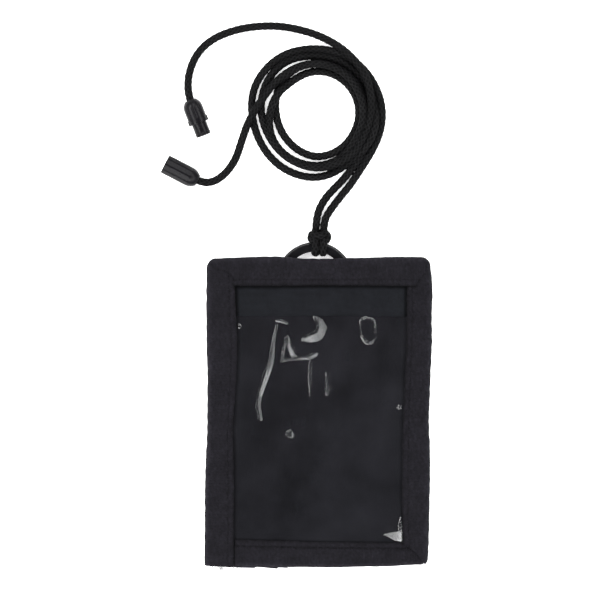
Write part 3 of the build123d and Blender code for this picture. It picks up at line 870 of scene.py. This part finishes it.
# Zip
def make_zip(tape_material, teeth_material, metal_material):
    """Woven tapes, meshed teeth and the finish of the slider, pull and stops."""
    half = cad_box("zipper_tape_upper")[1][0]
    tape_z = cad_box("zipper_tape_upper")[0][2]
    for side, name in ((1, "upper"), (-1, "lower")):
        edges = sorted((ZIP_Y + side * ZIP_TAPE_START, ZIP_Y + side * ZIP_TAPE_END))
        tape = panel_sheet(f"zip_tape_{name}", (-half, half), edges, tape_z, tape_material, 0.7)
        tape.data.flip_normals()
        thicken(tape, ZIP_TAPE_T)
        register(tape, "pouch", "zipper_tape", f"zipper_tape_{name}")
        teeth = Blobs()
        low_x, high_x = (cad_box(f"zipper_teeth_{name}")[k][0] for k in (0, 1))
        for k in range(int((high_x - low_x) / TEETH_PITCH)):
            x = low_x + TEETH_PITCH / 2 + k * TEETH_PITCH + (0 if side > 0 else TEETH_PITCH / 2)
            head, shank = (x, ZIP_Y + side * 0.35, 4.85), (x, ZIP_Y + side * 1.45, 4.95)
            teeth.add(head, (0, 0.75, 0), (0.42, 0, 0), (0, 0, 0.5), 0.6)
            teeth.add(shank, (0, 0.95, 0), (0.3, 0, 0), (0, 0, 0.5), 0.5)
        middle = ((low_x + high_x) / 2, ZIP_Y + side * 2.1, 5.1)
        teeth.add(middle, ((high_x - low_x) / 2, 0, 0), (0, 0.4, 0), (0, 0, 0.4), 0.1)
        row = teeth.build(f"zip_teeth_{name}", teeth_material)
        register(row, "pouch", "zipper_teeth", f"zipper_teeth_{name}")
    for node in ("zipper_slider", "zipper_pull", "zipper_end_stops"):
        finish_cad_node(node, metal_material)


def finish_cad_node(node, material):
    """Gives a CAD node a better material in every slot."""
    thing = bpy.data.objects[node]
    if not thing.material_slots:
        thing.data.materials.append(material)
    for slot in thing.material_slots:
        slot.material = material


# Ring tab
TAB_PATH = [(30.2, 5.5), (34.4, 5.5), (36.4, 1.6), (39.2, 1.25), (50.2, 1.25), (52.4, 1.6), (54.4, 4.6),
            (59.8, 4.7)]


def nurbs_points(name, points, resolution):
    """Points along a smooth line that has the given control points, in millimetres."""
    curve = bpy.data.curves.new(name, "CURVE")
    curve.dimensions = "3D"
    curve.resolution_u = resolution
    spline = curve.splines.new("NURBS")
    spline.points.add(len(points) - 1)
    for point, place in zip(spline.points, points):
        point.co = (*(value * MM for value in place), 1)
    spline.order_u = 3
    spline.use_endpoint_u = True
    thing = bpy.data.objects.new(name, curve)
    mesh = bpy.data.meshes.new_from_object(thing)
    line = np.array([tuple(v.co) for v in mesh.vertices]) / MM
    bpy.data.objects.remove(thing)
    bpy.data.curves.remove(curve)
    bpy.data.meshes.remove(mesh)
    return line


def make_ring_tab(material, thread):
    """Webbing strip behind the ring's wire, sewn down at both ends."""
    line = nurbs_points("tab_line", [(0, y, z) for y, z in TAB_PATH], 10)
    across = np.linspace(-TAB_WIDTH / 2, TAB_WIDTH / 2, 25)
    y = np.broadcast_to(line[:, 1][:, None], (len(line), len(across)))
    x = RING_X + across[None, :] + 0.12 * ripple(y, 0 * y, 71, 8)
    curl = 0.12 * (np.abs(across) / (TAB_WIDTH / 2)) ** 6
    z = line[:, 2][:, None] - 0.4 + curl[None, :]
    length = np.concatenate([[0], np.cumsum(np.hypot(np.diff(line[:, 1]), np.diff(line[:, 2])))])
    uv = np.stack(np.broadcast_arrays(length[:, None], across[None, :] + 10), -1) * MM
    points = np.stack([x, y, z], -1)
    tab = mesh_object("ring_tab_webbing", points, grid_faces(*x.shape), material, uv)
    tab.data.flip_normals()
    thicken(tab, WEBBING_T)
    register(tab, "pouch", "tab_webbing", "ring_tab")
    tacks = Blobs()
    for y0, z0 in ((31.6, 5.02), (57.6, 4.2)):
        for k in range(17):
            x0 = RING_X - 4.4 + k * 0.55
            slant = 0.25 if k % 2 else -0.25
            tacks.add((x0, y0, z0), (slant, 1.0, 0), (0.22, 0, 0), (0, 0, 0.2), 0.5)
    register(tacks.build("ring_tab_bar_tacks", thread), "pouch", "sewing_thread", "ring_tab_stitching")


# Neck cord
def on_table(*places):
    """Control points of a cord that lies on the table."""
    return [(x, y, CORD_R) for x, y in places]


LEAD_LEFT = on_table((-1.0, 79.2), (-0.75, 84.2), (0.6, 89.4), (3.5, 94.3), (7.1, 98.2), (11.1, 102.1),
                     (14.3, 106.0), (17.0, 110.4))
LEAD_RIGHT = on_table((2.6, 79.2), (2.85, 83.9), (5.3, 88.2), (9.8, 94.2), (14.6, 99.9), (18.1, 105.2),
                      (21.4, 110.2), (24.8, 116.0))
TAIL_PLUG = [(20.8, 153.2, UPPER_LAYER_Z), (15.2, 159.2, 4.9), (8.6, 164.5, 3.3)]
TAIL_PLUG += on_table((0.3, 168.8), (-8.5, 171.5), (-18.5, 173.2), (-29.5, 172.9), (-40.0, 170.8),
                      (-49.4, 166.6), (-55.9, 160.0), (-59.1, 152.0))
TAIL_PLUG += [(-59.8, 145.4, 2.2), (-58.8, 139.6, 4.45)]
TAIL_SOCKET = [(-25.4, 140.2, UPPER_LAYER_Z), (-31.4, 130.6, UPPER_LAYER_Z), (-34.8, 121.0, 3.1),
               (-37.8, 111.4, CORD_R), (-43.4, 104.2, CORD_R), (-49.8, 100.8, 2.1), (-55.4, 102.2, 4.55)]
# Each strand's way round the coil: angle run through, distance from the middle, and height where it
# isn't on the table
PLUG_TURNS = ((-34, 30.2), (-20, 30.0), (0, 29.9), (25, 29.3), (70, 29.4), (95, 29.5), (120, 30.8), (140, 31.1),
              (160, 31.0), (175, 30.1), (190, 29.3), (210, 29.1), (240, 29.5), (270, 29.5), (280, 28.7),
              (290, 27.7), (302, 26.4, 1.9), (320, 26.7, 3.9), (335, 27.5, 5.0), (350, 27.1, 4.4),
              (370, 26.3, 2.2), (390, 26.0), (420, 26.0), (450, 26.1), (467, 26.9), (480, 27.8), (500, 27.5),
              (520, 26.5), (535, 25.8), (550, 24.9, 1.9), (565, 24.3, 3.0), (580, 24.2, 4.6), (605, 24.4, 5.1),
              (630, 25.1, 5.2), (660, 24.7, 5.25), (690, 24.0, 5.25), (705, 24.0, 5.25), (720, 24.5, 5.25),
              (735, 25.4, 5.25), (750, 26.8, 5.25), (760, 28.4, 5.25))
SOCKET_TURNS = ((-50, 28.8), (-45, 28.2), (-30, 26.6), (-15, 25.2), (0, 23.8), (20, 22.8), (60, 22.75),
                (95, 22.75), (112, 22.9), (140, 21.6), (155, 20.4), (170, 19.3), (185, 18.5), (205, 18.2),
                (225, 18.3), (245, 18.9), (270, 19.9), (300, 19.5), (330, 19.0), (390, 19.3), (440, 19.4),
                (458, 19.2), (476, 18.6), (495, 18.7, 2.6), (510, 19.8, 4.6), (520, 20.4, 5.2),
                (535, 21.2, 5.0), (550, 22.3, 3.6), (565, 23.3, 1.9), (580, 23.9), (605, 24.0), (630, 24.0),
                (655, 23.2, 2.4), (675, 22.0, 4.4), (690, 21.2, 5.2), (720, 21.2, 5.25), (750, 21.5, 5.25),
                (780, 22.2, 5.25), (810, 22.7, 5.25), (840, 22.9, 5.25), (860, 23.4, 5.25), (872, 24.4, 5.25))
COIL_STEP = 15
STRAND_FINENESS = 22
BRAID_STRANDS = 6
BRAID_PITCH = 2.7


def coil_turns(table):
    """Control points every COIL_STEP degrees or so along a strand's turns of the coil."""
    angles, radii, heights = zip(*((*place, CORD_R)[:3] for place in table))
    count = round((angles[-1] - angles[0]) / COIL_STEP)
    points = []
    for k in range(count + 1):
        angle = angles[0] + (angles[-1] - angles[0]) * k / count
        radius = np.interp(angle, angles, radii) / math.cos(math.radians(COIL_STEP / 2))
        a = math.radians(angle)
        points.append((COIL_X + radius * math.cos(a), COIL_Y + radius * math.sin(a),
                       float(np.interp(angle, angles, heights))))
    return points


def frames_along(line):
    """Tangent, normal and side at each point, without twist."""
    tangents = np.gradient(line, axis=0)
    tangents /= np.linalg.norm(tangents, axis=1)[:, None]
    normals = np.empty_like(line)
    seed = np.array((0.0, 0.0, 1.0))
    for k, tangent in enumerate(tangents):
        seed = seed - tangent * seed.dot(tangent)
        seed = seed / np.linalg.norm(seed)
        normals[k] = seed
    return tangents, normals, np.cross(tangents, normals)


def braided_tube(name, line, radius, material, around=48, flatten=None):
    """A braided cord along a line of points; flatten gives each point's share across and up."""
    _, normals, sides = frames_along(line)
    travel = np.concatenate([[0], np.cumsum(np.linalg.norm(np.diff(line, axis=0), axis=1))])
    angle = np.linspace(0, 2 * math.pi, around, endpoint=False)[None, :]
    turn = 2 * math.pi * travel[:, None] / BRAID_PITCH
    over = np.cos(BRAID_STRANDS * angle + turn)
    under = np.cos(BRAID_STRANDS * angle - turn)
    relief = np.maximum(over, under)
    reach = radius * (0.955 + 0.09 * relief)
    wide, high = (1.0, 1.0) if flatten is None else (flatten[:, :1], flatten[:, 1:])
    ring = (
        sides[:, None, :] * (reach * np.cos(angle) * wide)[..., None]
        + normals[:, None, :] * (reach * np.sin(angle) * high)[..., None]
    )
    points = line[:, None, :] + ring
    uv = np.stack(np.broadcast_arrays(travel[:, None], angle * radius), -1) * MM
    # Painted shade in the crevices between the braid's strands and painted light on their crowns
    shade = 0.1 + 1.7 * smooth(-0.1, 1.0, relief) ** 1.5
    rows = len(line)
    faces = [list(face) for face in grid_faces(rows, around, wrap=True)]
    faces.append(list(range(around)))
    faces.append([(rows - 1) * around + k for k in reversed(range(around))])
    return mesh_object(name, points, faces, material, uv, shade)


def make_strand(side, points, nodes, material):
    """One strand from the hitch to inside its clasp half."""
    name = f"cord_strand_{side}"
    low, high = cad_box(f"{side}_cord_knot")
    inside = (np.array(points[-1]) + (low + high) / 2) / 2
    line = nurbs_points(name, points + [tuple(inside)], STRAND_FINENESS)
    strand = braided_tube(name, line, CORD_R, material)
    register(strand, "lanyard", "braided_cord", *nodes)


def make_cord(material):
    """Both strands; the turns of the coil take the place of the route point where each meets it."""
    plug = LEAD_RIGHT[:-1] + coil_turns(PLUG_TURNS) + TAIL_PLUG[1:]
    make_strand("plug", plug, ("cord_lead_right", "cord_tail_plug", "cord_coil"), material)
    socket = LEAD_LEFT[:-1] + coil_turns(SOCKET_TURNS) + TAIL_SOCKET[1:]
    make_strand("socket", socket, ("cord_lead_left", "cord_tail_socket"), material)


HITCH_X = 0.6
HITCH_BAR_MIDDLE = (HITCH_X, 76.6, 6.1)
# One half of the hitch, from its standing strand to the middle of its bar: x, y, z and how round it is
HITCH_HALF = ((-1.7, 79.7, 1.75, 1.0), (-1.7, 78.8, 1.75, 0.97), (-1.8, 77.0, 1.6, 0.9), (-1.9, 74.0, 1.15, 0.62),
              (-1.9, 71.5, 1.05, 0.56), (-1.8, 69.9, 1.05, 0.58), (-1.7, 68.8, 2.6, 0.85), (-1.7, 68.9, 4.7, 0.95),
              (-1.65, 70.2, 6.0, 1.0), (-1.55, 72.8, 6.2, 1.0), (-2.0, 74.6, 5.7, 1.0), (-3.5, 75.0, 4.8, 1.0),
              (-3.9, 76.5, 4.3, 1.0), (-3.0, 77.9, 4.9, 1.0), (-1.5, 76.9, 6.0, 1.0))


def make_hitch(material):
    """The cow hitch: two legs over the ring's wire and a bar across the standing strands."""
    left = [(HITCH_X + x, y, z) for x, y, z, _ in HITCH_HALF]
    right = [(2 * HITCH_X - x, y, z) for x, y, z in reversed(left)]
    line = nurbs_points("hitch_line", left + [HITCH_BAR_MIDDLE] + right, 16)
    squeeze = [share for *_, share in HITCH_HALF]
    shares = squeeze + [1.0] + squeeze[::-1]
    high = np.interp(np.linspace(0, 1, len(line)), np.linspace(0, 1, len(shares)), shares)
    flatten = np.stack([1 + 0.35 * (1 - high), high], -1)
    hitch = braided_tube("cord_hitch_knot", line, CORD_R, material, flatten=flatten)
    register(hitch, "lanyard", "braided_cord", "cord_hitch")


def make_end_knots(material):
    """The knotted cord ends held inside the clasp halves."""
    for node, name in (("plug_cord_knot", "knot_in_plug"), ("socket_cord_knot", "knot_in_socket")):
        low, high = cad_box(node)
        centre = (low + high) / 2
        radius = (high[2] - low[2]) / 2
        ring = [(centre[0] + 0.55 * radius * math.cos(a), centre[1] + 0.55 * radius * math.sin(a),
                 centre[2] + 0.35 * radius * math.sin(2 * a)) for a in np.linspace(0, 4.2 * math.pi, 22)]
        line = nurbs_points(name + "_line", ring, 8)
        knot = braided_tube(name, line, radius * 0.42, material, around=24)
        register(knot, "lanyard", "braided_cord", node)


make_camera()
make_world()
make_floor()
for azimuth, power in SOFTBOX_POWERS.items():
    make_softbox(f"softbox_{azimuth}", azimuth, SOFTBOX_ZENITH, power, SOFTBOX_SIZE)
for azimuth, from_zenith in UNDER_LIGHTS:
    make_softbox(f"under_light_{azimuth}", azimuth, from_zenith, UNDER_POWER, UNDER_SIZE)
bpy.context.scene.view_settings.view_transform = "Standard"

binding_cloth = ribbed_material("binding_tape_cloth", (0.0052, 0.0048, 0.0064), 1.3)
panel_cloth = woven_material("panel_cloth", (0.0042, 0.0047, 0.0060), 0.32, 0.9)
zip_cloth = woven_material("zip_tape_cloth", (0.0050, 0.0050, 0.0058), 0.32, 0.8)
tab_cloth = ribbed_material("tab_webbing_cloth", (0.0052, 0.0052, 0.0060), 1.1)
thread = thread_material("black_thread", (0.0034, 0.0033, 0.0040))
cord_braid = braid_material("cord_braid", (0.0028, 0.0028, 0.0030))

make_cord(cord_braid)
make_hitch(cord_braid)
make_end_knots(cord_braid)
make_binding(binding_cloth)
make_stitching(thread)
make_raw_end(thread)
make_front_panel(panel_cloth)
make_window(vinyl_material("clear_film"), film_edge_material("film_edge"))
make_back_panels(panel_cloth)
make_zip(zip_cloth, moulded_material("zip_nylon", (0.008, 0.008, 0.0085)),
         enamel_material("zip_enamel", (0.010, 0.010, 0.011), 0.3))
make_ring_tab(tab_cloth, thread)
finish_cad_node("split_ring", enamel_material("ring_black_plating", (0.003, 0.003, 0.0036), 0.2))
clasp = moulded_material("clasp_plastic", (0.0036, 0.0033, 0.0042))
finish_cad_node("breakaway_plug", clasp)
finish_cad_node("breakaway_socket", clasp)
